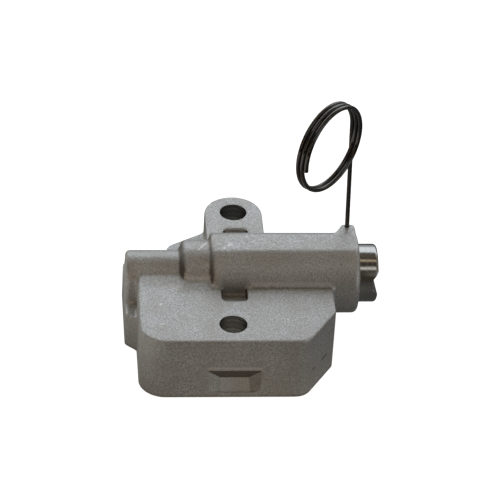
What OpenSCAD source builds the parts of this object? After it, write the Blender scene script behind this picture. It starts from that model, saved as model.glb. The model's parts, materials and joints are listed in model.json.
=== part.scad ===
// Hydraulic timing chain tensioner, held retracted by a coiled wire lock pin.
// Millimetres. The origin is on the mounting face, at the axis of the front bolt hole.
// X runs along the plunger, which comes out towards +X, and Z rises from the mounting face.

/* [Block] */
// Height of the block and of the rear lug above the mounting face
block_h = 17; // [16:0.5:18]
// Distance from the front bolt axis to the front face
block_front = 6.8; // [6:0.2:9]
// Distance from the front bolt axis to the left wall
block_left = 22.4; // [20:0.2:24]
// Distance from the front bolt axis to the right wall
block_right = 25.4; // [22:0.2:28]
// Radius of the front left corner
front_corner_r = 6.5; // [4:0.5:8]
// Length of the oblique front right corner along X
oblique_x = 7.7; // [5:0.1:10]
// Length of the oblique front right corner along Y
oblique_y = 11.9; // [8:0.1:14]
// Wall left round the cores of the underside
core_wall = 3.2; // [2.6:0.2:3.8]
// Roof left above the cores of the underside
core_roof = 4; // [3:0.5:6]
// Depth of the scoop in the front face
scoop_depth = 2; // [1.4:0.1:2.4]

/* [Bolts] */
// Diameter of both bolt holes
bolt_hole_d = 6.8; // [6.4:0.1:7.2]
// Distance of the rear bolt axis behind the front one
bolt_span = 45.8; // [44:0.2:52]
// Sideways shift of the rear bolt axis
bolt_shift = 2.8; // [0:0.2:4]
// Wall of the rear lug behind its bolt hole
lug_wall = 3.5; // [2.5:0.1:4.5]
// Half width of the rear lug
lug_half_w = 7.3; // [6.8:0.1:8]
// Height of the web between the barrel and the rear lug
web_h = 12; // [8:0.5:14]
// Width of the slot across the top face
slot_w = 6.2; // [4:0.1:8]
// Depth of the slot across the top face
slot_depth = 1.9; // [1:0.1:3]

/* [Barrel] */
// Distance of the plunger axis behind the front bolt axis
axis_y = 24.05; // [23:0.05:26]
// Height of the plunger axis above the mounting face
axis_z = 14.35; // [13.6:0.05:15]
// Outer diameter of the barrel
barrel_d = 19.8; // [19.2:0.1:20.6]
// Length of the barrel
barrel_len = 36.6; // [36:0.2:40]
// Distance from the front bolt axis to the mouth of the barrel
mouth_x = 32.2; // [31:0.2:34]
// Outer diameter of the valve boss behind the barrel
valve_boss_d = 16.3; // [15.2:0.1:17.2]
// Length of the valve boss
valve_boss_len = 7.1; // [6.4:0.1:8.4]
// Outer diameter of the oil gallery nose
nose_d = 11.3; // [10:0.1:12.4]
// Length of the oil gallery nose
nose_len = 13.6; // [12:0.2:16]
// Width of the flat along the top of the barrel
flat_w = 6.4; // [5:0.1:8]
// Reach of the foot behind the plunger axis
foot_rear_w = 11; // [9:0.2:12]
// Reach of the foot in front of the plunger axis, where it meets the block
foot_front_w = 13.2; // [12:0.2:14]
// Setback of the foot's front at its free end
foot_slant = 3; // [2:0.1:4]
// Height of the foot below the nose
foot_h = 9.4; // [6:0.2:11]

/* [Plunger] */
// Diameter of the plunger
plunger_d = 14.4; // [13.6:0.1:15]
// Length of the plunger
plunger_len = 37; // [35:0.2:39]
// Length of plunger that shows while it is locked
plunger_out = 4.8; // [3:0.1:6]
// Width of the notch across the plunger's end
notch_w = 6.2; // [4:0.1:8]
// Depth of the notch across the plunger's end
notch_depth = 1.5; // [0.8:0.1:2.5]
// Width of the lock groove round the plunger
groove_w = 2; // [1.6:0.1:3]
// Depth of the lock groove
groove_depth = 1.2; // [1:0.05:2]
// Diameter of the spring bore in the plunger
spring_bore_d = 9.6; // [9.6:0.1:10.4]
// Depth of the spring bore in the plunger
spring_bore_len = 27; // [25:0.2:27.4]

/* [Check valve] */
// Diameter of the check ball
ball_d = 4.4; // [4.2:0.1:4.8]
// Diameter of the hole through the valve seat
seat_hole_d = 3; // [2.4:0.1:3]
// Thickness of the valve seat
seat_t = 3; // [2.6:0.1:3.4]
// Sheet thickness of the ball cage
cage_t = 0.6; // [0.4:0.05:0.7]
// Diameter of the oil gallery and of the feed hole
gallery_d = 4; // [3:0.2:5]

/* [Springs] */
// Wire diameter of the plunger spring
spring_wire_d = 1.2; // [0.9:0.05:1.2]
// Outer diameter of the plunger spring
spring_d = 9.2; // [9.2:0.05:9.4]
// Turns of the plunger spring
spring_turns = 11; // [8:1:14]
// Wire diameter of the ball spring
ball_spring_wire_d = 0.3; // [0.2:0.02:0.34]

/* [Lock pin] */
// Wire diameter of the lock pin
pin_wire_d = 1.1; // [0.9:0.05:1.2]
// Radius of the pull ring at the middle of its wire
ring_r = 10.9; // [9:0.05:14]
// Height of the pull ring's centre above the mounting face
ring_z = 53.6; // [48:0.1:60]
// Turn of the ring's plane about the pin
ring_heading = 47; // [0:1:90]
// Angle that the wire runs round the ring
ring_sweep = 904; // [720:8:1080]
// Distance between neighbouring turns of the ring
ring_pitch = 1.22; // [1.21:0.01:2]
// Distance by which the leg leans to the left on its way up to the ring
leg_lean = 0.85; // [0:0.05:2]
// Distance of the pin behind the mouth of the barrel
pin_inset = 2.35; // [2.2:0.05:3]

/* [Hidden] */
$fn = 64;

// Running clearances, and the overlap by which cuts and joins pass a surface
plunger_clear = 0.03;
pin_clear = 0.09;
pin_groove_gap = 0.15;
pin_tip_gap = 0.3;
seat_clear = 0.01;
ball_seat_gap = 0.08;
cage_ball_gap = 0.35;
spring_end_gap = 0.05;
bite = 0.5;
// Arcs are this much larger than their radius, so that they cross the straight walls at an edge
round_ease = 1.004;

// Spindle of the casting: barrel, valve boss and nose, and the rounds at its steps
barrel_r = barrel_d / 2;
valve_boss_r = valve_boss_d / 2;
nose_r = nose_d / 2;
barrel_back_x = mouth_x - barrel_len;
valve_boss_back_x = barrel_back_x - valve_boss_len;
nose_end_x = valve_boss_back_x - nose_len;
flat_rise = sqrt(barrel_r * barrel_r - flat_w * flat_w / 4);
mouth_round_r = 1.3;
barrel_step = barrel_r - valve_boss_r;
barrel_round_r = min(1.1, 0.62 * barrel_step);
barrel_fillet_r = min(0.6, 0.34 * barrel_step);
boss_round_r = min(1.2, 0.47 * (valve_boss_r - nose_r));
nose_round_r = 1;
// Blend between the spindle and the block's top, sunk a little into both so that they meet at an edge
blend_r = 0.5;
blend_sink = 0.03;

// Plan of the block and of the web behind it
oblique_round_r = 3.5;
side_round_r = 1;
rear_round_r = 2;
// The rear wall stands inside the barrel's side, and steps in towards the nose between these two places
block_rear_y = axis_y + barrel_r - 0.6;
rear_step_x = [valve_boss_back_x - 3.5, barrel_back_x - 3];
web_left_run = 2.8;
web_right_run = 9;
web_shoulder_run = 7.5;
web_rear_run = 1.5;
web_x = [valve_boss_back_x - web_left_run, bolt_shift + lug_half_w + web_right_run];
web_shoulder_y = bolt_span - web_shoulder_run;
web_rear_y = bolt_span - web_rear_run;
web_round_r = 3;

// Foot below the nose, flush with its end but for a small stand
foot_x = [nose_end_x - 0.15, bite - block_left];
column_x = [foot_x[0] + 0.05, foot_x[1]];
foot_front_r = 1.2;
foot_rear_r = 0.8;
column_sink = 0.05;
column_half_w = nose_r - column_sink;

// Slot across the top face, whose two ends lie on the line between the bolt holes
slot_reach = 14.7;
slot_round_r = 1.3;
slot_off_line = 0.5;
slot_floor_z = block_h - slot_depth;

// Scoop in the front face below a small brow: places along X and heights
scoop_mouth_x = [-6.8, 7.5];
scoop_mouth_z = [2.2, 8.7];
scoop_deep_x = [-2.9, 4];
scoop_deep_z = 4.5;
scoop_low_x = [-2.8, 4.5];
scoop_low_z = 1.35;
scoop_low_depth = 0.2 * scoop_depth;
edge_t = 0.02;
brow_x = [-6.1, 6.8];
brow_z = [8.95, 9.6];
brow_proud = 0.45;

// Plunger and its bores
plunger_r = plunger_d / 2;
bore_r = plunger_r + plunger_clear;
plunger_tip_x = mouth_x + plunger_out;
plunger_back_x = plunger_tip_x - plunger_len;
plunger_chamfer = 0.6;
tip_round_r = 0.9;
oil_room = 2.4;
bore_floor_x = plunger_back_x - oil_room;
mouth_chamfer = 0.5;
groove_r = plunger_r - groove_depth;
spring_bore_r = spring_bore_d / 2;
spring_bore_end_x = plunger_back_x + spring_bore_len;
notch_floor_w = 0.39 * notch_w;
// Rise of the notch towards the front
notch_tilt = 10;

// Check valve, from the seat at the back to the cage over the ball
valve_bore_r = spring_bore_r + 0.2;
valve_bore_len = seat_t + 2;
seat_back_x = bore_floor_x - valve_bore_len;
seat_face_x = seat_back_x + seat_t;
seat_cone = 1.2;
ball_r = ball_d / 2;
// The ball's centre stands off a 45 degree cone by its radius and the seat gap
ball_x = seat_face_x - seat_cone - seat_hole_d / 2 + (ball_r + ball_seat_gap) * sqrt(2);
cage_in_r = ball_r + cage_ball_gap;
ball_spring_room = 3;
cage_end_x = ball_x + ball_r + ball_spring_room;
cage_window_d = 2;
cage_windows = 3;
cage_hole_d = 1.6;
feed_inset = 5.6;
feed_x = nose_end_x + feed_inset;

// Lock pin: the hole in the barrel's lug passes beside the plunger's axis, through its lock groove
pin_r = pin_wire_d / 2;
pin_x = mouth_x - pin_inset;
pin_y = axis_y + groove_r + pin_r + pin_groove_gap;
pin_hole_r = pin_r + pin_clear;
pin_hole_low_z = axis_z - plunger_r + bite;
pin_inner_y = pin_y - pin_r - axis_y;
pin_tip_z = axis_z + sqrt(plunger_r * plunger_r - pin_inner_y * pin_inner_y) + pin_tip_gap;
pin_tip_taper = 0.35;
pin_lug_wall = 0.5;
pin_lug_rear_y = pin_y + pin_hole_r + pin_lug_wall;
pin_lug_run = 3.8;
pin_lug_top_run = 1.2;
pin_lug_left_x = pin_x - pin_lug_run;
pin_lug_ramp_x = pin_x - pin_lug_top_run;
pin_lug_end_x = mouth_x - 0.3;
pin_lug_sink = 0.2;
pin_lug_end_r = 1.2;
pin_lug_ramp_r = 0.6;
ring_u = [cos(ring_heading), sin(ring_heading), 0];
ring_n = [sin(ring_heading), -cos(ring_heading), 0];

// Fineness of the wires: rings along them and sides round them
coil_steps = 20;
coil_sides = 8;
ball_coil_turns = 5;
ball_coil_steps = 14;
ball_coil_sides = 6;
pin_step = 8;
pin_sides = 10;

function unit(v) = v / norm(v);

// The kite between a corner and the arc that rounds it, carried on past the corner
module corner_tip(before, corner, after, r) {
    a = unit(before - corner);
    b = unit(after - corner);
    half = acos(a * b) / 2;
    reach = r / tan(half);
    inward = unit(a + b);
    centre = corner + inward * r / sin(half);
    difference() {
        polygon([centre, corner + a * reach, corner - inward * r, corner + b * reach]);
        translate(centre) circle(r * round_ease);
    }
}

// Anticlockwise outline whose corners [x, y, r] are each rounded to their own radius
module rounded_outline(corners) {
    n = len(corners);
    at = [for (c = corners) [c[0], c[1]]];
    before = [for (i = [0 : n - 1]) at[(i + n - 1) % n]];
    after = [for (i = [0 : n - 1]) at[(i + 1) % n]];
    turn = [for (i = [0 : n - 1]) cross(at[i] - before[i], after[i] - at[i])];
    difference() {
        union() {
            polygon(at);
            for (i = [0 : n - 1])
                if (corners[i][2] > 0 && turn[i] < 0) corner_tip(before[i], at[i], after[i], corners[i][2]);
        }
        for (i = [0 : n - 1])
            if (corners[i][2] > 0 && turn[i] > 0) corner_tip(before[i], at[i], after[i], corners[i][2]);
    }
}

// Rectangle between two corners, with its front and its rear corners rounded
module rounded_box(x, y, front_r, rear_r) {
    rounded_outline([
        [x[0], y[0], front_r],
        [x[1], y[0], front_r],
        [x[1], y[1], rear_r],
        [x[0], y[1], rear_r]
    ]);
}

// Extrudes a profile drawn in Y and Z from one X to another
module along_x(x0, x1) {
    translate([x0, 0, 0]) rotate([90, 0, 90]) linear_extrude(x1 - x0) children();
}

// Places what is turned about Z on the plunger axis, pointing to +X
module on_axis(x = 0) {
    translate([x, axis_y, axis_z]) rotate([0, 90, 0]) children();
}

module axis_hole(r, x0, x1) {
    on_axis(x0) cylinder(r = r, h = x1 - x0);
}

// Faces of a tube that is swept through rings of points
function tube_faces(rings, sides) = concat(
    [[for (j = [0 : sides - 1]) j]],
    [for (i = [0 : rings - 2], j = [0 : sides - 1])
        let (a = i * sides, b = (i + 1) * sides, k = (j + 1) % sides)
        [a + j, b + j, b + k, a + k]],
    [[for (j = [sides - 1 : -1 : 0]) (rings - 1) * sides + j]]
);

// Height along a coil spring after t turns: the first and last turn lie closed on their neighbours
function coil_rise(t, turns, wire_d, length) =
    let (open = (length - 3 * wire_d) / (turns - 2))
    t < 1 ? t * wire_d : t > turns - 1 ? length - wire_d - (turns - t) * wire_d : wire_d + (t - 1) * open;

// Compression spring along Z, standing on Z = 0
module coil_spring(outer_d, wire_d, length, turns, steps, sides) {
    wire_r = wire_d / 2;
    mean_r = outer_d / 2 - wire_r;
    rings = turns * steps + 1;
    points = [for (i = [0 : rings - 1], j = [0 : sides - 1])
        let (
            t = i / steps,
            q = 360 * j / sides,
            r = mean_r + wire_r * cos(q),
            z = wire_r + coil_rise(t, turns, wire_d, length) + wire_r * sin(q)
        )
        [r * cos(360 * t), r * sin(360 * t), z]];
    polyhedron(points, tube_faces(rings, sides), convexity = 10);
}

// Turned body of the casting: gallery nose, valve boss and barrel on one axis
module spindle() {
    on_axis() rotate_extrude()
        rounded_outline([
            [0, nose_end_x, 0],
            [nose_r, nose_end_x, nose_round_r],
            [nose_r, valve_boss_back_x, boss_round_r],
            [valve_boss_r, valve_boss_back_x, boss_round_r],
            [valve_boss_r, barrel_back_x, barrel_fillet_r],
            [barrel_r, barrel_back_x, barrel_round_r],
            [barrel_r, mouth_x, mouth_round_r],
            [0, mouth_x, 0]
        ]);
}

// Concave blend between the block's top and a round of radius r on the plunger axis
module top_blend(r, x0, x1, side = -1) {
    rise = block_h + blend_r - blend_sink - axis_z;
    reach = r + blend_r - blend_sink;
    out = sqrt(reach * reach - rise * rise);
    centre = [axis_y + side * out, axis_z + rise];
    touch = [axis_y + side * out * r / reach, axis_z + rise * r / reach];
    along_x(x0, x1) difference() {
        polygon([[centre[0], block_h - bite], [axis_y, block_h - bite], touch, centre]);
        translate(centre) circle(blend_r);
    }
}

// Plan of the block, with its oblique corner at the front right
module block_plan() {
    rounded_outline([
        [-block_left, -block_front, front_corner_r],
        [block_right - oblique_x, -block_front, oblique_round_r],
        [block_right, oblique_y - block_front, side_round_r],
        [block_right, block_rear_y, rear_round_r],
        [rear_step_x[1], block_rear_y, rear_round_r],
        [rear_step_x[0], axis_y + nose_r, rear_round_r],
        [-block_left, axis_y + nose_r, 0]
    ]);
}

// Plan of the low web that runs from the barrel back to the rear lug
module web_plan() {
    rounded_outline([
        [web_x[0], axis_y, 0],
        [web_x[1], axis_y, 0],
        [web_x[1], block_rear_y + side_round_r, side_round_r],
        [bolt_shift, web_rear_y, 0],
        [bolt_shift - lug_half_w, web_rear_y, 0],
        [web_x[0], web_shoulder_y, web_round_r]
    ]);
}

// Plan of the rear lug, round behind its bolt hole
module lug_plan() {
    round_y = bolt_span + bolt_hole_d / 2 + lug_wall - lug_half_w;
    translate([bolt_shift, round_y]) circle(lug_half_w);
    translate([bolt_shift - lug_half_w, axis_y]) square([2 * lug_half_w, round_y - axis_y]);
}

// Foot below the nose and the column on it, which bring the oil up from the mounting face
module foot() {
    linear_extrude(foot_h)
        rounded_outline([
            [foot_x[0], axis_y - foot_front_w + foot_slant, foot_front_r],
            [foot_x[1], axis_y - foot_front_w, 0],
            [foot_x[1], axis_y + foot_rear_w, 0],
            [foot_x[0], axis_y + foot_rear_w, foot_rear_r]
        ]);
    linear_extrude(axis_z)
        rounded_box(column_x, [axis_y - column_half_w, axis_y + column_half_w], foot_rear_r, foot_rear_r);
}

// Lug at the barrel's mouth that takes the lock pin, before the flat levels it with the barrel
module pin_lug() {
    translate([0, 0, axis_z]) linear_extrude(barrel_r)
        rounded_outline([
            [pin_lug_left_x, axis_y, 0],
            [pin_lug_end_x, axis_y, 0],
            [pin_lug_end_x, pin_lug_rear_y, pin_lug_end_r],
            [pin_lug_ramp_x, pin_lug_rear_y, pin_lug_ramp_r],
            [pin_lug_left_x, axis_y + flat_w / 2 - pin_lug_sink, 0]
        ]);
}

// Places along X of the slot's end in front of the barrel (-1) or behind it (1)
function slot_x(side) =
    let (middle = slot_off_line + bolt_shift * (axis_y + side * slot_reach) / bolt_span)
    [middle - slot_w / 2, middle + slot_w / 2];

// Slot across the top face, open to the barrel from both sides
module top_slot() {
    translate([0, 0, slot_floor_z]) linear_extrude(block_h) {
        rounded_box(slot_x(-1), [axis_y - slot_reach, axis_y], slot_round_r, 0);
        rounded_box(slot_x(1), [axis_y, axis_y + slot_reach], 0, slot_round_r);
    }
}

// Thin bar of the scoop, from X to X and from Z to Z, at a depth behind the front face
module scoop_bar(x, z, depth) {
    translate([x[0], depth - block_front - edge_t, z[0]])
        cube([x[1] - x[0], edge_t, z[1] - z[0] + edge_t]);
}

// Scoop in the front face: a roof that slopes in, and a floor that ramps back out below it
module front_scoop() {
    hull() {
        scoop_bar(scoop_mouth_x, scoop_mouth_z, -brow_proud);
        scoop_bar(scoop_deep_x, [scoop_deep_z, scoop_deep_z], scoop_depth);
        scoop_bar(scoop_low_x, [scoop_low_z, scoop_low_z], scoop_low_depth);
        scoop_bar(scoop_low_x, [scoop_low_z, scoop_low_z], 0);
    }
}

// Brow above the scoop, with a sloping top
module brow() {
    slope = (brow_z[1] - brow_z[0]) / brow_proud;
    root_y = bite - block_front;
    front_y = -block_front - brow_proud;
    along_x(brow_x[0], brow_x[1])
        polygon([
            [root_y, scoop_deep_z],
            [root_y, brow_z[1] + bite * slope],
            [front_y, brow_z[0]],
            [front_y, scoop_deep_z]
        ]);
}

// Cores of the underside, either side of the front bolt
module underside_cores() {
    boss = bolt_hole_d / 2 + core_wall;
    front = core_wall - block_front;
    rear = axis_y - bore_r - core_wall;
    r = rear_round_r;
    translate([0, 0, -bite]) linear_extrude(block_h - core_roof + bite) {
        rounded_outline([
            [core_wall - block_left, front, max(front_corner_r - core_wall, side_round_r)],
            [-boss, front, r],
            [-boss, rear, r],
            [core_wall - block_left, rear, r]
        ]);
        rounded_outline([
            [boss, front, r],
            [block_right - oblique_x - core_wall / 2, front, r],
            [block_right - core_wall, oblique_y - block_front + core_wall / 2, side_round_r],
            [block_right - core_wall, rear, r],
            [boss, rear, r]
        ]);
    }
}

// Body of the casting before its bores are machined
module casting() {
    difference() {
        union() {
            linear_extrude(block_h) block_plan();
            linear_extrude(block_h) lug_plan();
            linear_extrude(web_h) web_plan();
            brow();
        }
        top_slot();
        front_scoop();
        underside_cores();
    }
    foot();
    difference() {
        union() {
            spindle();
            pin_lug();
        }
        translate([barrel_back_x - bite, axis_y - barrel_r, axis_z + flat_rise])
            cube([barrel_len + 2 * bite, barrel_d, barrel_r]);
    }
    top_blend(nose_r, blend_sink - block_left, valve_boss_back_x + bite);
    top_blend(valve_boss_r, valve_boss_back_x + boss_round_r / 2, barrel_back_x + bite);
    top_blend(barrel_r, barrel_back_x + barrel_round_r / 2, slot_x(-1)[0] - blend_sink);
    top_blend(barrel_r, slot_x(-1)[1] + blend_sink, block_right - blend_sink);
    top_blend(barrel_r, bolt_shift - lug_half_w + blend_sink, slot_x(1)[0] - blend_sink, 1);
    top_blend(barrel_r, slot_x(1)[1] + blend_sink, bolt_shift + lug_half_w - blend_sink, 1);
}

module housing() {
    color("lightslategray") difference() {
        casting();
        for (at = [[0, 0], [bolt_shift, bolt_span]])
            translate([at[0], at[1], -bite]) cylinder(d = bolt_hole_d, h = block_h + 2 * bite);
        axis_hole(bore_r, bore_floor_x, mouth_x + bite);
        on_axis(mouth_x - mouth_chamfer)
            cylinder(r1 = bore_r, r2 = bore_r + mouth_chamfer + bite, h = mouth_chamfer + bite);
        axis_hole(valve_bore_r, seat_back_x, bore_floor_x + bite);
        axis_hole(gallery_d / 2, feed_x, seat_back_x + bite);
        translate([feed_x, axis_y, -bite]) cylinder(d = gallery_d, h = axis_z + bite);
        translate([pin_x, pin_y, pin_hole_low_z]) cylinder(r = pin_hole_r, h = block_h + barrel_d);
    }
}

module plunger() {
    groove_x = pin_x - pin_r - pin_groove_gap;
    color("silver") difference() {
        on_axis() rotate_extrude()
            rounded_outline([
                [spring_bore_r, plunger_back_x, 0],
                [plunger_r - plunger_chamfer, plunger_back_x, 0],
                [plunger_r, plunger_back_x + plunger_chamfer, 0],
                [plunger_r, groove_x, 0],
                [groove_r, groove_x, 0],
                [groove_r, groove_x + groove_w, 0],
                [plunger_r, groove_x + groove_w, 0],
                [plunger_r, plunger_tip_x, tip_round_r],
                [0, plunger_tip_x, 0],
                [0, spring_bore_end_x, 0],
                [spring_bore_r, spring_bore_end_x, 0]
            ]);
        end_notch();
    }
}

// Notch across the middle of the plunger's end, with sloping sides and a flat floor
module end_notch() {
    slope = (notch_w - notch_floor_w) / 2 / notch_depth;
    outer = notch_w / 2 + slope * bite;
    floor = notch_floor_w / 2;
    translate([plunger_tip_x, axis_y, axis_z]) rotate([-notch_tilt, 0, 0]) rotate([90, 0, 0])
        translate([0, 0, -plunger_d]) linear_extrude(2 * plunger_d)
            polygon([[bite, outer], [-notch_depth, floor], [-notch_depth, -floor], [bite, -outer]]);
}

module plunger_spring() {
    start_x = seat_face_x + cage_t + spring_end_gap;
    length = spring_bore_end_x - spring_end_gap - start_x;
    color("dimgray") on_axis(start_x)
        coil_spring(spring_d, spring_wire_d, length, spring_turns, coil_steps, coil_sides);
}

module valve_seat() {
    color("darkgray") on_axis() rotate_extrude()
        polygon([
            [seat_hole_d / 2, seat_back_x],
            [valve_bore_r - seat_clear, seat_back_x],
            [valve_bore_r - seat_clear, seat_face_x],
            [seat_hole_d / 2 + seat_cone, seat_face_x],
            [seat_hole_d / 2, seat_face_x - seat_cone]
        ]);
}

module check_ball() {
    color("gainsboro") on_axis(ball_x) sphere(r = ball_r);
}

module ball_spring() {
    start_x = ball_x + ball_r + spring_end_gap;
    length = cage_end_x - cage_t - spring_end_gap - start_x;
    color("dimgray") on_axis(start_x)
        coil_spring(cage_in_r, ball_spring_wire_d, length, ball_coil_turns, ball_coil_steps, ball_coil_sides);
}

// Deep drawn cap over the ball, held by its flange and open through its windows
module ball_cage() {
    out_r = cage_in_r + cage_t;
    flange_x = seat_face_x + cage_t;
    color("darkgray") difference() {
        on_axis() rotate_extrude()
            polygon([
                [cage_in_r, seat_face_x],
                [valve_bore_r - seat_clear, seat_face_x],
                [valve_bore_r - seat_clear, flange_x],
                [out_r, flange_x],
                [out_r, cage_end_x],
                [cage_hole_d / 2, cage_end_x],
                [cage_hole_d / 2, cage_end_x - cage_t],
                [cage_in_r, cage_end_x - cage_t]
            ]);
        for (i = [1 : cage_windows])
            on_axis(flange_x + cage_window_d) rotate([0, 0, 360 * i / cage_windows]) rotate([0, 90, 0])
                cylinder(d = cage_window_d, h = 2 * out_r);
    }
}

// Ring of points round the pin's wire, in the plane of two directions
function wire_ring(centre, a, b, r) =
    [for (j = [0 : pin_sides - 1])
        let (q = 360 * j / pin_sides)
        centre + r * (cos(q) * a + sin(q) * b)];

module lock_pin() {
    up = [0, 0, 1];
    foot_at = [pin_x, pin_y, pin_tip_z];
    hole_top = [pin_x, pin_y, axis_z + flat_rise + pin_r];
    hub = [pin_x - leg_lean, pin_y, ring_z] - ring_r * ring_u;
    leg = [
        wire_ring(foot_at, ring_u, ring_n, pin_r - pin_tip_taper),
        wire_ring(foot_at + pin_tip_taper * up, ring_u, ring_n, pin_r),
        wire_ring(hole_top, ring_u, ring_n, pin_r)
    ];
    ring = [for (t = [0 : pin_step : ring_sweep])
        let (out = cos(t) * ring_u + sin(t) * up)
        wire_ring(hub + ring_r * out + ring_pitch * t / 360 * ring_n, out, ring_n, pin_r)];
    rings = concat(leg, ring);
    color([0.12, 0.11, 0.1])
        polyhedron([for (r = rings, p = r) p], tube_faces(len(rings), pin_sides), convexity = 10);
}

housing();
plunger();
plunger_spring();
valve_seat();
check_ball();
ball_spring();
ball_cage();
lock_pin();
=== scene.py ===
# %% [markdown]
# # A chain tensioner on the studio table
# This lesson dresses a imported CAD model. The CAD gives every piece its shape and place, and Blender adds
# what a drawing leaves out: soft cast edges, round wire, grain, tool marks and light.
# We load the model first and keep its box, because the dressed part has to stay the same size.

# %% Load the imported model
import json
import math

import bmesh
import bpy
from mathutils import Matrix, Vector


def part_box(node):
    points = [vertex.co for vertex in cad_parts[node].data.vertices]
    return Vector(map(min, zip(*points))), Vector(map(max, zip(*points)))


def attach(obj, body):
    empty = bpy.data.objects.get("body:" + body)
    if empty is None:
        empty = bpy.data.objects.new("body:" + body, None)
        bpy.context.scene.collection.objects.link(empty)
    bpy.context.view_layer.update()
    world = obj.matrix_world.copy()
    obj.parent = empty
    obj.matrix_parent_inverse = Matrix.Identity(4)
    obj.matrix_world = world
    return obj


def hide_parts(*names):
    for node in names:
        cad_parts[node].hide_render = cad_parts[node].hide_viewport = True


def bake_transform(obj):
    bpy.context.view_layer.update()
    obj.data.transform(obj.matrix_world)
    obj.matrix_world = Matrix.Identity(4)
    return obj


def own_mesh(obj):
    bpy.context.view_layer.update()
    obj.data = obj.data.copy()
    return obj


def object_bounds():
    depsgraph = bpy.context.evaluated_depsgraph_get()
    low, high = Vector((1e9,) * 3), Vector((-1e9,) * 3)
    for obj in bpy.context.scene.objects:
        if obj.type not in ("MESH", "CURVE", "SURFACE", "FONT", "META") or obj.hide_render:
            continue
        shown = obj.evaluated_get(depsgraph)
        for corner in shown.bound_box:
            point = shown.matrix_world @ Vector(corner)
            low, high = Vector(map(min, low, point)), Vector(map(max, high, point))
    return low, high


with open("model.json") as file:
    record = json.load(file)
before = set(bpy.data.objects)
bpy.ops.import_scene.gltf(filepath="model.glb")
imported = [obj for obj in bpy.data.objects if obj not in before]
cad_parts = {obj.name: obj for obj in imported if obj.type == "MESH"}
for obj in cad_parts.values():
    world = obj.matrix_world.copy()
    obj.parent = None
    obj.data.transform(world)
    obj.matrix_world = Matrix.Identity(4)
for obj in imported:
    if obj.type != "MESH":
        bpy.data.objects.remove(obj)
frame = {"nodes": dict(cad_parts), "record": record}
cad_box = [[float(v) for v in corner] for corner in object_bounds()]
cad_nodes = frame["nodes"]
scene = bpy.context.scene
MM = 0.001
print("CAD nodes:", sorted(cad_nodes), "box:", cad_box)

# %% [markdown]
# ## Where the photographer stood
# The part was photographed from the front, a little to the left, looking down by about 36 degrees with a
# long lens. A long lens keeps parallel edges nearly parallel. The camera is rolled so that the plunger's
# axis lies level in the picture, as a photographer would line it up.

# %% Camera
AZIMUTH = math.radians(-6.0)
ELEVATION = math.radians(36.5)
CAMERA_AT = Vector((-56.56, -565.5, 459.99)) * MM
SENSOR_MM = 36.0
LENS_MM = 216.0
CLIP_NEAR = 0.01
CLIP_FAR = 20.0


def camera_axes(azimuth, elevation):
    """Right, up and back of a camera that keeps X lines level in its picture."""
    flat = math.cos(elevation)
    back = Vector((math.sin(azimuth) * flat, -math.cos(azimuth) * flat, math.sin(elevation)))
    level = Vector((math.cos(azimuth), math.sin(azimuth), 0.0))
    rise = back.cross(level)
    roll = math.atan2(rise.x, level.x)
    right = level * math.cos(roll) + rise * math.sin(roll)
    return right, back.cross(right), back


camera_data = bpy.data.cameras.new("studio_camera")
camera_data.sensor_width = SENSOR_MM
camera_data.lens = LENS_MM
camera_data.clip_start = CLIP_NEAR
camera_data.clip_end = CLIP_FAR
camera = bpy.data.objects.new("studio_camera", camera_data)
scene.collection.objects.link(camera)
turn = Matrix(camera_axes(AZIMUTH, ELEVATION)).transposed().to_4x4()
camera.matrix_world = Matrix.Translation(CAMERA_AT) @ turn
scene.camera = camera
scene.view_settings.view_transform = "Standard"
print("camera stands", round(CAMERA_AT.length, 3), "m from the front bolt")

# %% [markdown]
# ## A pale table in a dim room
# Metal shows what surrounds it, and the front faces of the part mirror the table. A table that is white to
# every ray would wash them out, so it has two looks. The camera sees it white. All other rays find a dim
# card, brighter at the left and close in front of the part. The Light Path node tells the two kinds of ray
# apart, and the room around is made in the same way.

# %% Node helpers
def link(tree, source, target):
    tree.links.new(source, target)


def new_material(name):
    """A material with an empty node tree, and the tree to fill."""
    material = bpy.data.materials.new(name)
    material.use_nodes = True
    material.node_tree.nodes.clear()
    return material, material.node_tree


def map_range(tree, value, low, high, to_low=0.0, to_high=1.0):
    node = tree.nodes.new("ShaderNodeMapRange")
    node.inputs["From Min"].default_value = low
    node.inputs["From Max"].default_value = high
    node.inputs["To Min"].default_value = to_low
    node.inputs["To Max"].default_value = to_high
    link(tree, value, node.inputs["Value"])
    return node.outputs["Result"]


def mix_colour(tree, factor, first, second):
    """Mixes two colours, each of them a tuple or another node's socket."""
    node = tree.nodes.new("ShaderNodeMix")
    node.data_type = "RGBA"
    link(tree, factor, node.inputs["Factor"])
    for socket, value in (("A", first), ("B", second)):
        target = [s for s in node.inputs if s.name == socket and s.type == "RGBA"][0]
        if isinstance(value, tuple):
            target.default_value = (*value, 1.0)
        else:
            link(tree, value, target)
    return [s for s in node.outputs if s.type == "RGBA"][0]


def by_ray(tree, unseen, seen, output):
    """Shows one shader to the camera and the other to all other rays."""
    path = tree.nodes.new("ShaderNodeLightPath")
    pick = tree.nodes.new("ShaderNodeMixShader")
    link(tree, path.outputs["Is Camera Ray"], pick.inputs[0])
    link(tree, unseen, pick.inputs[1])
    link(tree, seen, pick.inputs[2])
    link(tree, pick.outputs[0], output.inputs["Surface"])


def to_object(name, shape):
    """Makes a bmesh an object of the scene."""
    mesh = bpy.data.meshes.new(name)
    shape.to_mesh(mesh)
    shape.free()
    made = bpy.data.objects.new(name, mesh)
    scene.collection.objects.link(made)
    return made


# %% Table
TABLE_SIDE = 8.0
TABLE_DROP = 0.02 * MM
TABLE_SEEN = (0.9, 0.9, 0.9, 1.0)
TABLE_GLOW = 0.87
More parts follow.
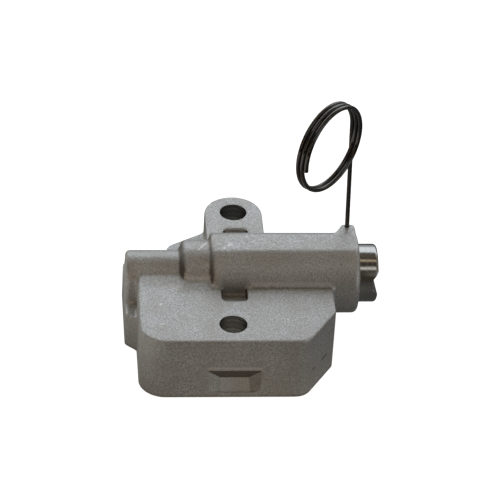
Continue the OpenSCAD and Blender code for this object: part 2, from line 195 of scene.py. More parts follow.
# What the table gives back to the part: at the left, in front of the part, and elsewhere
CARD_LEFT = (0.58, 0.565, 0.51)
CARD_FRONT = (0.224, 0.202, 0.17)
CARD_TONE = (0.082, 0.083, 0.08)
CARD_LEFT_X = (-65 * MM, -15 * MM)
CARD_FRONT_AT = Vector((3, -18, 0)) * MM
CARD_FRONT_REACH = (8 * MM, 45 * MM)


def table_material():
    """White to the camera, and a dim card to all other rays."""
    material, tree = new_material("pale_table")
    place = tree.nodes.new("ShaderNodeTexCoord").outputs["Object"]
    apart = tree.nodes.new("ShaderNodeSeparateXYZ")
    link(tree, place, apart.inputs[0])
    away = tree.nodes.new("ShaderNodeVectorMath")
    away.operation = "DISTANCE"
    away.inputs[1].default_value = CARD_FRONT_AT
    link(tree, place, away.inputs[0])
    in_front = map_range(tree, away.outputs["Value"], *CARD_FRONT_REACH, 1.0, 0.0)
    at_left = map_range(tree, apart.outputs["X"], *CARD_LEFT_X, 1.0, 0.0)
    near = mix_colour(tree, in_front, CARD_TONE, CARD_FRONT)
    card = tree.nodes.new("ShaderNodeEmission")
    link(tree, mix_colour(tree, at_left, near, CARD_LEFT), card.inputs["Color"])
    seen = tree.nodes.new("ShaderNodeBsdfDiffuse")
    seen.inputs["Color"].default_value = TABLE_SEEN
    glow = tree.nodes.new("ShaderNodeEmission")
    glow.inputs["Strength"].default_value = TABLE_GLOW
    bright = tree.nodes.new("ShaderNodeAddShader")
    link(tree, seen.outputs[0], bright.inputs[0])
    link(tree, glow.outputs[0], bright.inputs[1])
    output = tree.nodes.new("ShaderNodeOutputMaterial")
    by_ray(tree, card.outputs[0], bright.outputs[0], output)
    return material


table_shape = bmesh.new()
bmesh.ops.create_grid(table_shape, x_segments=1, y_segments=1, size=TABLE_SIDE / 2)
bmesh.ops.translate(table_shape, verts=table_shape.verts, vec=(0, 0, -TABLE_DROP))
table = to_object("table", table_shape)
table.data.materials.append(table_material())
print("table side", TABLE_SIDE, "m")

# %% Room
ROOM_TONE = (0.06, 0.05, 0.038, 1.0)
BACKDROP = (1.0, 1.0, 1.0, 1.0)


def background(tree, colour):
    node = tree.nodes.new("ShaderNodeBackground")
    node.inputs["Color"].default_value = colour
    return node.outputs[0]


world = bpy.data.worlds.new("room")
scene.world = world
world.use_nodes = True
room = world.node_tree
room.nodes.clear()
room_output = room.nodes.new("ShaderNodeOutputWorld")
by_ray(room, background(room, ROOM_TONE), background(room, BACKDROP), room_output)
print("room tone", ROOM_TONE[:3])

# %% [markdown]
# ## Soft boxes
# The light is placed by what each face mirrors. The upper faces mirror a broad cool box behind the part, with
# a weaker one below it. The polished plunger mirrors bands: a white strip above the camera, a warm strip
# overhead and a dim ceiling. Boxes at the front corners and at the right lift the fronts and the ends.
# Each area light is given as an angle and the brightness of its face, because that is what metal shows,
# and its power follows from its size.

# %% Soft boxes
LIT_SPOT = Vector((5, 22, 12)) * MM
BOX_DISTANCE = 0.7
# Azimuth from the front towards the right, elevation, width, height, brightness of its face, tint
SOFT_BOXES = {
    "window_behind": (180, 37, 1.6, 0.45, 1.4, (0.865, 0.935, 1.0)),
    "window_low": (180, 10, 1.6, 0.22, 0.5, (0.865, 0.935, 1.0)),
    "strip_above_camera": (0, 54, 1.2, 0.135, 0.86, (1.0, 0.99, 0.94)),
    "warm_strip_overhead": (0, 86, 1.2, 0.11, 0.64, (1.0, 0.82, 0.58)),
    "dim_ceiling": (180, 69, 1.4, 0.3, 0.065, (1.0, 0.95, 0.8)),
    "low_right": (60, 6, 0.5, 0.25, 1.5, (0.92, 0.97, 1.0)),
    "front_left": (-35, 25, 0.4, 0.3, 0.58, (1.0, 0.71, 0.44)),
    "front_right": (35, 25, 0.4, 0.3, 0.12, (1.0, 0.99, 0.94)),
    "right_side": (100, 25, 0.5, 0.4, 0.3, (1.0, 0.9, 0.75)),
}


def soft_box(name, azimuth, elevation, width, height, glow, tint):
    """An area light that faces the part. Its power follows from how bright its face is."""
    flat = math.cos(math.radians(elevation))
    turn_to = math.radians(azimuth)
    rise = math.sin(math.radians(elevation))
    out = Vector((math.sin(turn_to) * flat, -math.cos(turn_to) * flat, rise))
    data = bpy.data.lights.new(name, "AREA")
    data.shape = "RECTANGLE"
    data.size = width
    data.size_y = height
    data.energy = math.pi * width * height * glow
    data.color = tint
    light = bpy.data.objects.new(name, data)
    across = Vector((math.cos(turn_to), math.sin(turn_to), 0))
    facing = Matrix((across, out.cross(across), out)).transposed().to_4x4()
    light.matrix_world = Matrix.Translation(LIT_SPOT + out * BOX_DISTANCE) @ facing
    light.visible_camera = False
    scene.collection.objects.link(light)


for box_name, box_values in SOFT_BOXES.items():
    soft_box(box_name, *box_values)
print("soft boxes:", list(SOFT_BOXES))

# %% [markdown]
# ## Shared effects
# A casting, a turned rod and a drawn wire are all metal, and they differ in their skin. Two effects are used
# by several finishes, so each is a node group with named sockets: a fine grain with soft blotches for
# blasted or oxidised skin, and tool marks that run round an axis. A group is built once, and each finish
# places it with its own scale.

# %% Grain group
# Scale of the coarse grain as a share of the fine grain's, and the ranges of noise that are spread to 0 and 1
COARSE_SHARE = 0.33
SPECK_RANGE = (0.3, 0.7)
BLOTCH_RANGE = (0.35, 0.65)
HEIGHT_RANGE = (0.6, 1.4)


def group_socket(group, name, way, kind="NodeSocketFloat"):
    group.interface.new_socket(name=name, in_out=way, socket_type=kind)


def noise(tree, place, scale, detail, roughness):
    """A noise texture that takes its place and its scale from other nodes."""
    node = tree.nodes.new("ShaderNodeTexNoise")
    node.inputs["Detail"].default_value = detail
    node.inputs["Roughness"].default_value = roughness
    link(tree, place, node.inputs["Vector"])
    link(tree, scale, node.inputs["Scale"])
    return node.outputs["Fac"]


def math_node(tree, operation, first, second):
    """Combines two values, each of them a number or another node's socket."""
    node = tree.nodes.new("ShaderNodeMath")
    node.operation = operation
    for socket, value in zip(node.inputs, (first, second)):
        if isinstance(value, (int, float)):
            socket.default_value = value
        else:
            link(tree, value, socket)
    return node.outputs[0]


def build_grain_group():
    """Grain: fine specks, soft blotches and the height of the skin, each from 0 to 1."""
    group = bpy.data.node_groups.new("metal_grain", "ShaderNodeTree")
    group_socket(group, "Vector", "INPUT", "NodeSocketVector")
    group_socket(group, "Grain Scale", "INPUT")
    group_socket(group, "Blotch Scale", "INPUT")
    group_socket(group, "Specks", "OUTPUT")
    group_socket(group, "Blotches", "OUTPUT")
    group_socket(group, "Height", "OUTPUT")
    entry = group.nodes.new("NodeGroupInput").outputs
    leave = group.nodes.new("NodeGroupOutput").inputs
    coarse_scale = math_node(group, "MULTIPLY", entry["Grain Scale"], COARSE_SHARE)
    fine = noise(group, entry["Vector"], entry["Grain Scale"], detail=2.0, roughness=0.6)
    coarse = noise(group, entry["Vector"], coarse_scale, detail=2.0, roughness=0.55)
    patch = noise(group, entry["Vector"], entry["Blotch Scale"], detail=3.0, roughness=0.6)
    both = math_node(group, "ADD", fine, coarse)
    link(group, map_range(group, fine, *SPECK_RANGE), leave["Specks"])
    link(group, map_range(group, patch, *BLOTCH_RANGE), leave["Blotches"])
    link(group, map_range(group, both, *HEIGHT_RANGE), leave["Height"])
    return group


GRAIN = build_grain_group()
print("grain group sockets:", [s.name for s in GRAIN.interface.items_tree])

# %% Tool mark group
# Scale of the broad bands as a share of the fine rings', and the ranges of noise that are spread to 0 and 1
BAND_SHARE = 0.16
RING_RANGE = (0.3, 0.7)
BAND_RANGE = (0.35, 0.65)


def build_tool_mark_group():
    """Tool marks: rings along X, uneven in width, as a height and a tone from 0 to 1."""
    group = bpy.data.node_groups.new("tool_marks", "ShaderNodeTree")
    group_socket(group, "Vector", "INPUT", "NodeSocketVector")
    group_socket(group, "Ring Scale", "INPUT")
    group_socket(group, "Height", "OUTPUT")
    group_socket(group, "Tone", "OUTPUT")
    entry = group.nodes.new("NodeGroupInput").outputs
    leave = group.nodes.new("NodeGroupOutput").inputs
    apart = group.nodes.new("ShaderNodeSeparateXYZ")
    along_x = group.nodes.new("ShaderNodeCombineXYZ")
    link(group, entry["Vector"], apart.inputs[0])
    link(group, apart.outputs["X"], along_x.inputs["X"])
    band_scale = math_node(group, "MULTIPLY", entry["Ring Scale"], BAND_SHARE)
    rings = noise(group, along_x.outputs[0], entry["Ring Scale"], detail=2.0, roughness=0.6)
    bands = noise(group, along_x.outputs[0], band_scale, detail=2.0, roughness=0.5)
    link(group, map_range(group, rings, *RING_RANGE), leave["Height"])
    link(group, map_range(group, bands, *BAND_RANGE), leave["Tone"])
    return group


TOOL_MARKS = build_tool_mark_group()
print("tool mark group sockets:", [s.name for s in TOOL_MARKS.interface.items_tree])

# %% [markdown]
# ## Finishes
# The body is blasted die-cast aluminium: light grey, matt, with a fine speckle, faint darker blotches, and
# brown soiling and painted shade in its corners. Its bolt holes are bored. The plunger is turned and
# polished steel, the valve pieces are ground or pressed steel, the springs are oil-tempered wire, and the
# lock pin is black wire with a film of oil. They could be one flat colour each, but metal is told by its
# skin. So two builders make all of them from the shared effects: one for grained skins and one for turned
# ones.

# %% Metal with coordinates and relief
def use_group(tree, group, **values):
    """Places a node group, with values for its inputs."""
    node = tree.nodes.new("ShaderNodeGroup")
    node.node_tree = group
    for name, value in values.items():
        node.inputs[name.replace("_", " ")].default_value = value
    return node


def metal(name, metallic):
    """A Principled metal with Object coordinates ready to use."""
    material, tree = new_material(name)
    output = tree.nodes.new("ShaderNodeOutputMaterial")
    shader = tree.nodes.new("ShaderNodeBsdfPrincipled")
    shader.inputs["Metallic"].default_value = metallic
    link(tree, shader.outputs[0], output.inputs["Surface"])
    place = tree.nodes.new("ShaderNodeTexCoord").outputs["Object"]
    return material, tree, shader, place


def bump(tree, shader, height, strength, distance):
    node = tree.nodes.new("ShaderNodeBump")
    node.inputs["Strength"].default_value = strength
    node.inputs["Distance"].default_value = distance
    link(tree, height, node.inputs["Height"])
    link(tree, node.outputs[0], shader.inputs["Normal"])


# %% Grained and turned finishes
# The attribute that is painted on the casting: 1 for full painted shade, and -1 for a full painted highlight
# or rubbed wear
SHADE_LIGHT_AND_WEAR = "shade_light_and_wear"
# The colour of painted highlights and of rubbed wear
RUBBED_AND_HIGHLIGHT = (0.93, 0.9, 0.86)
# How open a place is, from the deepest corner to a free face, and the most soiling and painted shade that a
# corner takes
RECESS_OPEN = (0.5, 0.9)
RECESS_SOIL_AND_SHADE = 0.55
OIL_FILM = {"Coat Weight": 1.0, "Coat Roughness": 0.03, "Coat IOR": 1.7}


def recess(tree, reach):
    """How much soiling and painted shade a corner takes, and 0 on an open face."""
    shade = tree.nodes.new("ShaderNodeAmbientOcclusion")
    shade.inputs["Distance"].default_value = reach
    return map_range(tree, shade.outputs["AO"], *RECESS_OPEN, RECESS_SOIL_AND_SHADE, 0.0)


def soil_shade_and_wear(tree, colour, grime_and_shade):
    """Lays soiling and painted shade over a colour, in corners and by the attribute, and lightens highlights
    and wear.
    """
    soil_and_shade_colour, strength, reach = grime_and_shade
    painted = tree.nodes.new("ShaderNodeAttribute")
    painted.attribute_name = SHADE_LIGHT_AND_WEAR
    # Soiling and painted shade: corners darken by their ambient occlusion, and places by the painted
    # attribute
    soil_and_shade = math_node(tree, "MAXIMUM", recess(tree, reach), painted.outputs["Fac"])
    depth = math_node(tree, "MULTIPLY", soil_and_shade, strength)
    darkened = mix_colour(tree, depth, colour, soil_and_shade_colour)
    # Painted highlights and rubbed wear brighten the colour where the attribute is below 0
    wear_and_highlight = map_range(tree, painted.outputs["Fac"], 0.0, -1.0)
    return mix_colour(tree, wear_and_highlight, darkened, RUBBED_AND_HIGHLIGHT)


def grained_finish(name, metallic, pale, dark, stain, rough, grain, relief, grime_and_shade=None, oiled=False):
    """A matt metal skin: specks between two tones, and blotches of a third.
    stain is a colour and its strength, rough is for pale and for dark specks, and grain is the scale of
    specks and blotches. relief is strength and depth, and grime_and_shade is a colour of soiling and
    painted shade, its strength and its reach."""
    material, tree, shader, place = metal(name, metallic)
    skin = use_group(tree, GRAIN, Grain_Scale=grain[0], Blotch_Scale=grain[1])
    link(tree, place, skin.inputs["Vector"])
    specks = mix_colour(tree, skin.outputs["Specks"], dark, pale)
    veil = math_node(tree, "MULTIPLY", skin.outputs["Blotches"], stain[1])
    colour = mix_colour(tree, veil, specks, stain[0])
    if grime_and_shade:
        colour = soil_shade_and_wear(tree, colour, grime_and_shade)
    link(tree, colour, shader.inputs["Base Color"])
    sheen = map_range(tree, skin.outputs["Specks"], 0.0, 1.0, rough[1], rough[0])
    link(tree, sheen, shader.inputs["Roughness"])
    bump(tree, shader, skin.outputs["Height"], *relief)
    if oiled:
        for socket, value in OIL_FILM.items():
            shader.inputs[socket].default_value = value
    return material


def turned_finish(name, metallic, pale, dark, rough, ring_scale, relief, upright_rings=False):
    """A bright machined metal: rings round X, or round Z if they are upright, in tone, roughness and relief.
    rough is for pale and for dark rings, and relief is strength and depth."""
    material, tree, shader, place = metal(name, metallic)
    marks = use_group(tree, TOOL_MARKS, Ring_Scale=ring_scale)
    lay = tree.nodes.new("ShaderNodeMapping")
    lay.inputs["Rotation"].default_value = (0, math.pi / 2 if upright_rings else 0, 0)
    link(tree, place, lay.inputs["Vector"])
    link(tree, lay.outputs[0], marks.inputs["Vector"])
    link(tree, mix_colour(tree, marks.outputs["Tone"], dark, pale), shader.inputs["Base Color"])
    sheen = map_range(tree, marks.outputs["Tone"], 0.0, 1.0, rough[1], rough[0])
    link(tree, sheen, shader.inputs["Roughness"])
    bump(tree, shader, marks.outputs["Height"], *relief)
    return material


# %% The seven finishes
# The casting darkens to brown with soiling and painted shade, in corners and where the attribute paints shade
CAST = grained_finish(
    "blasted_aluminium", metallic=0.6, pale=(0.77, 0.77, 0.77), dark=(0.38, 0.375, 0.37),
    stain=((0.46, 0.43, 0.39), 0.45), rough=(0.38, 0.58), grain=(2600.0, 120.0), relief=(0.85, 0.06 * MM),
    grime_and_shade=((0.082, 0.054, 0.031), 0.88, 1.3 * MM),
)
BORED = turned_finish(
    "bored_aluminium", metallic=1.0, pale=(1.0, 1.0, 0.99), dark=(0.4, 0.4, 0.39),
    rough=(0.18, 0.36), ring_scale=9000.0, relief=(0.3, 0.02 * MM), upright_rings=True,
)
TURNED = turned_finish(
    "turned_steel", metallic=1.0, pale=(0.485, 0.475, 0.46), dark=(0.455, 0.445, 0.43),
    rough=(0.14, 0.2), ring_scale=5000.0, relief=(0.05, 0.01 * MM),
)
GROUND = turned_finish(
    "ground_steel", metallic=1.0, pale=(0.70, 0.70, 0.71), dark=(0.60, 0.60, 0.61),
    rough=(0.16, 0.26), ring_scale=7000.0, relief=(0.1, 0.01 * MM),
)
PRESSED = grained_finish(
    "pressed_steel", metallic=1.0, pale=(0.62, 0.61, 0.59), dark=(0.50, 0.49, 0.47),
    stain=((0.42, 0.40, 0.37), 0.3), rough=(0.28, 0.4), grain=(4200.0, 400.0), relief=(0.12, 0.01 * MM),
)
SPRING = grained_finish(
    "spring_wire", metallic=1.0, pale=(0.20, 0.195, 0.19), dark=(0.12, 0.115, 0.11),
    stain=((0.10, 0.085, 0.07), 0.4), rough=(0.3, 0.42), grain=(5200.0, 500.0), relief=(0.15, 0.01 * MM),
)
BLACK_WIRE = grained_finish(
    "black_wire", metallic=1.0, pale=(0.028, 0.029, 0.031), dark=(0.016, 0.016, 0.017),
    stain=((0.05, 0.028, 0.012), 0.7), rough=(0.1, 0.16), grain=(5200.0, 260.0), relief=(0.06, 0.01 * MM),
    oiled=True,
)
finishes = (CAST, BORED, TURNED, GROUND, PRESSED, SPRING, BLACK_WIRE)
print("finishes:", [finish.name for finish in finishes])

# %% [markdown]
# ## The casting
# Molten metal leaves no sharp corner: every inside corner is a small fillet, and every edge is rounded.
# Bevelling hundreds of curved CAD edges one by one is fragile. So the casting is made as a foundry makes it:
# first a blank without bores and with soft corners, and then the bores, cut with sharp rims.
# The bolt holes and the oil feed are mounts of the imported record, so their places are read from there.

# %% Measures of the housing
mounts = {mount["name"]: mount for mount in frame["record"]["mounts"]}
bolt_hole = mounts["front_bolt_hole"]["dims"]
BOLTS = [Vector(mounts[name]["pos_m"]) for name in ("front_bolt_hole", "rear_bolt_hole")]
BOLT_R = bolt_hole["r_mm"] * MM
BLOCK_H = bolt_hole["length_mm"] * MM
# The oil feed rises to the plunger's axis
oil_feed = mounts["oil_feed"]
FEED_AT = Vector(oil_feed["pos_m"])
FEED_R = oil_feed["dims"]["r_mm"] * MM
AXIS_Y = oil_feed["pos_m"][1]
AXIS_Z = oil_feed["dims"]["length_mm"] * MM
PIN_AT = Vector((29.85, 30.75, 0)) * MM
PIN_HOLE_R = 0.64 * MM
PIN_HOLE_LOW = 7.65 * MM
FLAT_TOP_Z = 23.719 * MM
print("plunger axis at Y", round(AXIS_Y / MM, 2), "and Z", round(AXIS_Z / MM, 2), "mm")

# %% Shapes to plug and cut with
BORE_SIDES = 96
WELD = 0.0005 * MM


def upright(shape, at, radius, low, high, sides=BORE_SIDES):
    """A closed cylinder along Z."""
    place = Matrix.Translation((at.x, at.y, (low + high) / 2))
    bmesh.ops.create_cone(
        shape, cap_ends=True, segments=sides, radius1=radius, radius2=radius, depth=high - low, matrix=place
    )


def turned_on_axis(shape, steps):
    """Spins a stepped profile of places and radii about the plunger's axis."""
    verts = [shape.verts.new((x * MM, AXIS_Y, AXIS_Z + r * MM)) for x, r in steps]
    edges = [shape.edges.new(pair) for pair in zip(verts, verts[1:])]
    bmesh.ops.spin(
        shape, geom=verts + edges, cent=(0, AXIS_Y, AXIS_Z), axis=(1, 0, 0), angle=2 * math.pi,
        steps=BORE_SIDES, use_merge=True,
    )
    bmesh.ops.remove_doubles(shape, verts=shape.verts, dist=WELD)
    bmesh.ops.recalc_face_normals(shape, faces=shape.faces)


def block_between(shape, low, high):
    """A box between two corners in millimetres."""
    low = Vector(low) * MM
    high = Vector(high) * MM
    place = Matrix.Translation((low + high) / 2) @ Matrix.Diagonal((*(high - low), 1))
    bmesh.ops.create_cube(shape, size=1, matrix=place)


def hull_of(shape, corners):
    """The convex hull of corners in millimetres."""
    verts = [shape.verts.new(Vector(corner) * MM) for corner in corners]
    hull = bmesh.ops.convex_hull(shape, input=verts)
    faces = [g for g in hull["geom"] if isinstance(g, bmesh.types.BMFace)]
    bmesh.ops.recalc_face_normals(shape, faces=faces)


def welded(node):
    """A copy of a CAD node. Its mesh is a bag of loose triangles, so the copy is merged."""
    shape = bmesh.new()
    shape.from_mesh(cad_nodes[node].data)
    bmesh.ops.remove_doubles(shape, verts=shape.verts, dist=WELD)
    return shape


def settle(piece):
    """Replaces a piece's mesh by what its modifiers make of it."""
    seen = piece.evaluated_get(bpy.context.evaluated_depsgraph_get())
    mesh = bpy.data.meshes.new_from_object(seen)
    piece.modifiers.clear()
    old = piece.data
    piece.data = mesh
    bpy.data.meshes.remove(old)


# %% [markdown]
# ## A blank without bores
# The blank is a welded copy of the CAD housing. Its corner between the front and the oblique face is drawn
# onto a wider arc: two cuts with bisect_plane mark where the arc starts and ends, and the points between
# move in. Plugs then fill the bores, and two low wedges let the block rise towards the spindle. They only
# overlap the body, and a voxel Remesh fuses all of it into one even skin. A Boolean union would not do that.

# %% Round the front corner
# The corner between the front and the oblique face: direction of the oblique face out of the block, its
# distance from the front bolt, distance of the front face, and radius of the rounding
CORNER_OUT = Vector((0.8394, -0.5435, 0))
CORNER_OFF = 18.55 * MM
CORNER_FRONT = 6.8 * MM
CORNER_R = 4.4 * MM


def round_corner(shape):
    """Draws the corner between the front and the oblique face back onto a wide arc."""
    mid_y = CORNER_R - CORNER_FRONT
    mid_x = (CORNER_OFF - CORNER_R - CORNER_OUT.y * mid_y) / CORNER_OUT.x
    centre = Vector((mid_x, mid_y, 0))
    run = Vector((-CORNER_OUT.y, CORNER_OUT.x, 0))
    for across in (Vector((1, 0, 0)), run):
        everything = shape.verts[:] + shape.edges[:] + shape.faces[:]
        bmesh.ops.bisect_plane(shape, geom=everything, dist=WELD, plane_co=centre, plane_no=across)
    for vert in shape.verts:
        arm = Vector((vert.co.x, vert.co.y, 0)) - centre
        if arm.x > 0 and arm.dot(run) < 0 and CORNER_R < arm.length < 2 * CORNER_R:
            place = centre + arm * (CORNER_R / arm.length)
            vert.co.x = place.x
            vert.co.y = place.y


blank = welded("housing")
round_corner(blank)
print("blank with", len(blank.verts), "corners")

# %% Plug the bores and fuse the skin
# Plugs are wider than their bores. The foot grows by the allowance, which is milled off after the smoothing
ALLOWANCE = 1 * MM
PLUG_EXTRA = 0.4 * MM
PIN_PLUG_EXTRA = 0.16 * MM
PIN_PLUG_RAISE = 2 * MM
BORE_PLUG = ((-19.9, 0), (-19.9, 2.4), (-7.9, 2.4), (-7.9, 7.8), (32.2, 7.8), (32.2, 0))
SCOOP_PLUG = ((-7.2, -6.8, 1.0), (7.9, -4.4, 8.7))
# Cast metal that rises from the block towards the gallery nose and the valve boss, as corners in millimetres
SPINDLE_BLENDS = (
    (
        (-22.2, 15, 16.4), (-11.2, 15, 16.4), (-22.2, 19.3, 16.4), (-11.2, 19.8, 16.4),
        (-22.2, 15, 17), (-11.2, 15, 17), (-22.2, 19.3, 17), (-20.8, 19.8, 17.65), (-11.2, 19.8, 17.65),
    ),
    (
        (-12.6, 12.6, 16.4), (-4.4, 12.6, 16.4), (-12.6, 17.2, 16.4), (-3.6, 14.4, 16.4), (-12.6, 12.6, 17),
        (-4.4, 12.6, 17), (-12.6, 17.2, 17), (-11, 17.2, 17.9), (-4.9, 17.2, 17.9), (-3.6, 14.4, 17),
    ),
)
VOXEL = 0.33 * MM

for vert in blank.verts:
    if vert.co.z < WELD:
        vert.co.z -= ALLOWANCE
for at in BOLTS:
    upright(blank, at, BOLT_R + PLUG_EXTRA, -ALLOWANCE, BLOCK_H)
upright(blank, FEED_AT, FEED_R + PLUG_EXTRA, -ALLOWANCE, AXIS_Z)
upright(blank, PIN_AT, PIN_HOLE_R + PIN_PLUG_EXTRA, PIN_HOLE_LOW + PIN_PLUG_RAISE, FLAT_TOP_Z)
turned_on_axis(blank, BORE_PLUG)
block_between(blank, *SCOOP_PLUG)
for corners in SPINDLE_BLENDS:
    hull_of(blank, corners)
housing = to_object("housing_casting", blank)
fuse = housing.modifiers.new("fused_skin", "REMESH")
fuse.mode = "VOXEL"
fuse.voxel_size = VOXEL
settle(housing)
print("fused skin:", len(housing.data.polygons), "faces")

# %% [markdown]
# ## Soft corners
# Smoothing draws each point towards its neighbours, so flat faces stay and corners turn round. On an even
# skin one round does the same everywhere, and the number of rounds sets the radius. Most of the casting
# takes a few. The slot takes fewer and keeps its rim, and the foot of the spindle takes more.

# %% Soften the corners
SOFTENING = 4
# Rounds of smoothing elsewhere, between two corners in millimetres: the slot keeps its rim, and the spindle
# flows into the block with wider fillets
SOFT_SPOTS = (
    ((-4.5, 8.5, 14.5), (6, 18, 17.5), 2),
    ((-26, 12.5, 16.2), (-3.3, 20.5, 20), 16),
    ((5.5, 12.5, 16.2), (25, 17.5, 19), 8),
)


def inside(place, low, high):
    """Whether a place lies between two corners."""
    return all(a < v < b for a, v, b in zip(low, place, high))


def softening_at(place):
    """Rounds of smoothing for a vertex, by where it lies."""
    for low, high, rounds in SOFT_SPOTS:
        if inside(place, low, high):
            return rounds
    return SOFTENING


soft = bmesh.new()
soft.from_mesh(housing.data)
wanted = {v: softening_at(v.co / MM) for v in soft.verts}
for done in range(max(wanted.values())):
    verts = [v for v, rounds in wanted.items() if rounds > done]
    bmesh.ops.smooth_vert(soft, verts=verts, factor=0.5, use_axis_x=True, use_axis_y=True, use_axis_z=True)
# The voxels reach a hair past the left end, so the skin is held inside the CAD box
for vert in soft.verts:
    vert.co.x = max(vert.co.x, cad_box[0][0])
print("softened", len(soft.verts), "points, at most", max(wanted.values()), "times")
soft.to_mesh(housing.data)
soft.free()

# %% [markdown]
# ## Machining
# The mounting face is milled, and the bores are drilled after the casting has cooled, so their rims are
# sharp. Each tool is a small closed mesh that a Boolean modifier takes away. The scoop in the front is cast,
# but it has crisp edges, so it is cut here too. The Manifold solver is quick on closed meshes such as these.

# %% Machine the casting
# Steps of the bore along X with their radii, from the gallery's end to beyond the mouth
BORE_STEPS = (
    (-19.5, 0), (-19.5, 2), (-7.4, 2), (-7.4, 5), (-2.4, 5), (-2.4, 7.23),
    (31.7, 7.23), (33.7, 9.23), (33.7, 0),
)
# The scoop in the front face: its mouth, its deepest edge and its low lip, as ranges of X and Z with their Y
SCOOP_BARS = (
    ((-6.8, 7.5), (2.2, 8.72), -7.25), ((-6.8, 7.5), (2.2, 8.72), -8.25), ((-2.9, 4), (4.5, 4.52), -4.8),
    ((-2.8, 4.5), (1.35, 1.37), -6.4), ((-2.8, 4.5), (1.35, 1.37), -6.8),
)
# All that lies below the mounting face
FOOT_WASTE = ((-50, -30, -10), (50, 70, 0))
PIN_HOLE_SIDES = 32


def cut(piece, name, fill):
    """Cuts a shape that fill draws out of a piece."""
    shape = bmesh.new()
    fill(shape)
    cutter = to_object(name, shape)
    knife = piece.modifiers.new(name, "BOOLEAN")
    knife.operation = "DIFFERENCE"
    knife.solver = "MANIFOLD"
    knife.object = cutter
    settle(piece)
    bpy.data.objects.remove(cutter)


def front_scoop(shape):
    hull_of(shape, [(x, y, z) for xs, zs, y in SCOOP_BARS for x in xs for z in zs])


def bolt_holes(shape):
    for at in BOLTS:
        upright(shape, at, BOLT_R, -2 * ALLOWANCE, BLOCK_H + ALLOWANCE)


def small_holes(shape):
    upright(shape, FEED_AT, FEED_R, -2 * ALLOWANCE, AXIS_Z)
    upright(shape, PIN_AT, PIN_HOLE_R, PIN_HOLE_LOW, FLAT_TOP_Z + ALLOWANCE, PIN_HOLE_SIDES)


cut(housing, "milled_foot", lambda shape: block_between(shape, *FOOT_WASTE))
cut(housing, "front_scoop", front_scoop)
cut(housing, "stepped_bore", lambda shape: turned_on_axis(shape, BORE_STEPS))
cut(housing, "bolt_holes", bolt_holes)
cut(housing, "small_holes", small_holes)
print("machined casting:", len(housing.data.polygons), "faces")

# %% [markdown]
# ## Painted shade, painted highlights and wear
# Shade and highlights are painted into the casting's colour. Painted shade lies on the roof of the scoop,
# in the slots, on the barrel above the front slot, on the left flanks of the steps and under a fillet, and
# painted highlights lie on the floor of the scoop, along its brow and along fillets. Nicks of wear are
# painted too. A material alone can't know these places. So the script writes a value on every corner of
# the mesh, from 1, full painted shade, through 0 to -1, a full painted highlight or rubbed wear, and the
# casting's finish reads that attribute.

# %% Places of painted shade and highlight
# All places are in millimetres. A facing is the part of a normal that points along one axis
# The scoop: painted shade on its roof and right cheek, and a painted highlight on its floor
SCOOP_BOX = ((-7.0, -6.72, 1.3), (7.7, -4.5, 8.8))
SCOOP_ROOF_FACING = -0.2
SCOOP_CHEEK_FACING = (0.1, 0.4)
SCOOP_ROOF = 0.9
SCOOP_CHEEK = 0.3
SCOOP_FLOOR = -0.3
# The slots: painted shade on their side walls, under the barrel and on their floors
SLOT_BOXES = (((-3.2, 8.6, 14.7), (5.6, 18.5, 16.8)), ((-1.6, 30, 14.7), (7.2, 39.5, 16.8)))
SLOT_WALL_FACING = 0.6
SLOT_WALL = 1.0
SLOT_FLOOR = 0.1
SLOT_UNDER_BARREL = 0.55
# Where the shade under the barrel ends and where it is full, as distances from the plunger's axis
SLOT_FADE = (11.6, 10.6)
# The shade on the barrel above the front slot: its ranges, its soft edge and its strength
GLOOM_X = (-3.0, 5.2)
GLOOM_Y = (9, 17)
GLOOM_Z = (19.4, 16.6)
GLOOM_EDGE = 1
GLOOM_FACING = -0.3
GLOOM = 0.65
# Painted shade on the left flanks of the spindle's steps: above the block, darker low down than high up
STEP_BANDS = ((-12.2, -9.9), (-5.2, -2.9))
STEP_CLEAR = 0.2
STEP_RISE = (5.5, 8.5)
STEP_FACING = (0.15, 0.75)
STEP_LOW = 0.85
STEP_FADE = 0.4


def ramp(value, low, high):
    """0 at low and 1 at high, with a straight rise between them."""
    return min(1.0, max(0.0, (value - low) / (high - low)))


def between(value, span):
    return span[0] < value < span[1]


def scoop_shade(facing):
    """Painted shade on the roof and on the right cheek, and a painted highlight on the floor."""
    if facing.z < SCOOP_ROOF_FACING:
        return SCOOP_ROOF
    if abs(facing.x) > SCOOP_CHEEK_FACING[0]:
        return SCOOP_CHEEK * ramp(-facing.x, *SCOOP_CHEEK_FACING)
    return SCOOP_FLOOR


def slot_shade(place, facing):
    """Painted shade: black on a slot's side walls, brown under the barrel and paler on its floor."""
    if abs(facing.x) > SLOT_WALL_FACING:
        return SLOT_WALL
    away = abs(place.y - AXIS_Y / MM)
    return SLOT_FLOOR + SLOT_UNDER_BARREL * ramp(away, *SLOT_FADE)


def gloom_shade(place):
    """A soft shade on the barrel above the front slot."""
    left, right = GLOOM_X
    across = min(ramp(place.x, left, left + GLOOM_EDGE), ramp(place.x, right, right - GLOOM_EDGE))
    return GLOOM * across * ramp(place.z, *GLOOM_Z)


def step_shade(place, normal):
    """Painted shade on the left flank of a step."""
    high_up = ramp(place.z - AXIS_Z / MM, *STEP_RISE)
    return (STEP_LOW - STEP_FADE * high_up) * ramp(-normal.x, *STEP_FACING)


print("shaded places: one scoop,", len(SLOT_BOXES), "slots,", len(STEP_BANDS), "steps")

# %% Painted highlight lines and nicks
# The brow over the scoop gets a painted highlight: its range of X, its height, half its width and its shade
BROW_X = (-6.9, 7.6)
BROW_FRONT_Y = -7.0
BROW_LINE = (9.1, 0.6, -0.6)
